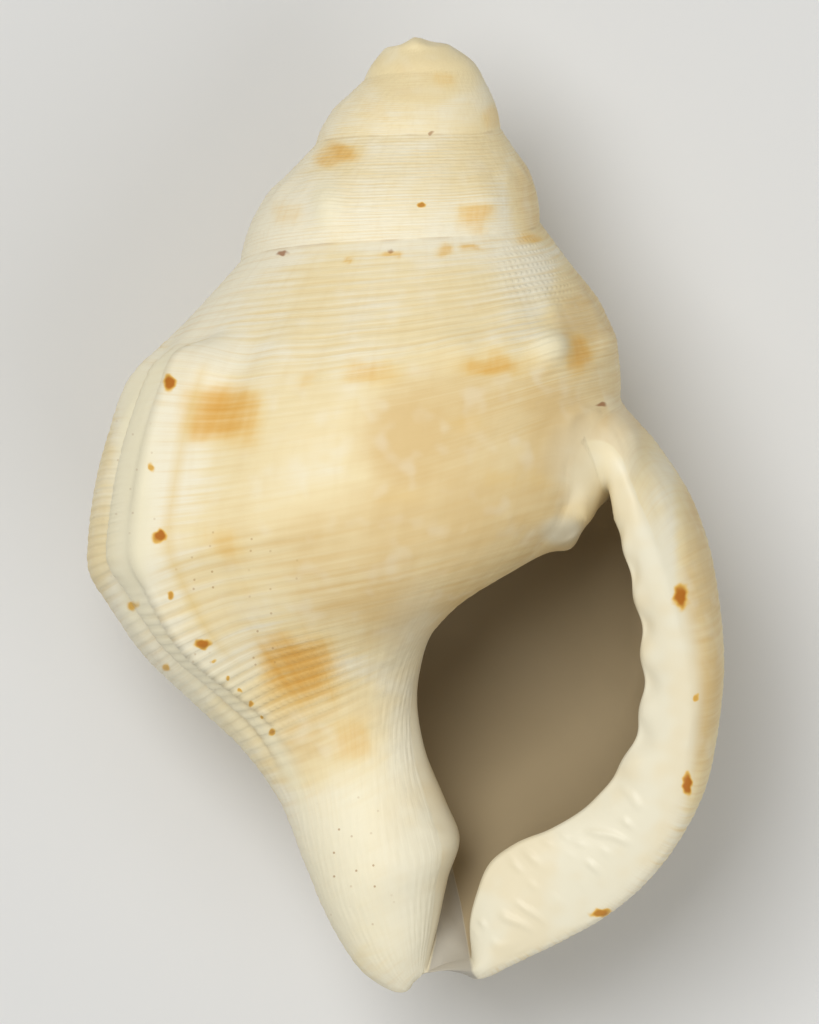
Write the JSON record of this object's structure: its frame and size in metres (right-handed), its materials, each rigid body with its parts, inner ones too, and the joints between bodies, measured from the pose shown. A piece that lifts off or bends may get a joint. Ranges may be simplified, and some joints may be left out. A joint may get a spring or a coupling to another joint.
{
  "type": "seashell",
  "caption": "Right-handed triton seashell with a low knobbed spire, an old lip on its left side, an open mouth with a thick outer lip and a short canal, lying on its back.",
  "frame": {"origin": "middle of the shell's length and width, at the worn flat spot that it rests on", "axes": "+Y from the canal to the apex, +X to the outer lip, +Z out of the mouth"},
  "size_m": [0.0334, 0.05, 0.0266],
  "materials": {
    "shell": "satin"
  },
  "bodies": {
    "root": {"shell": "shell"}
  },
  "joints": []
}
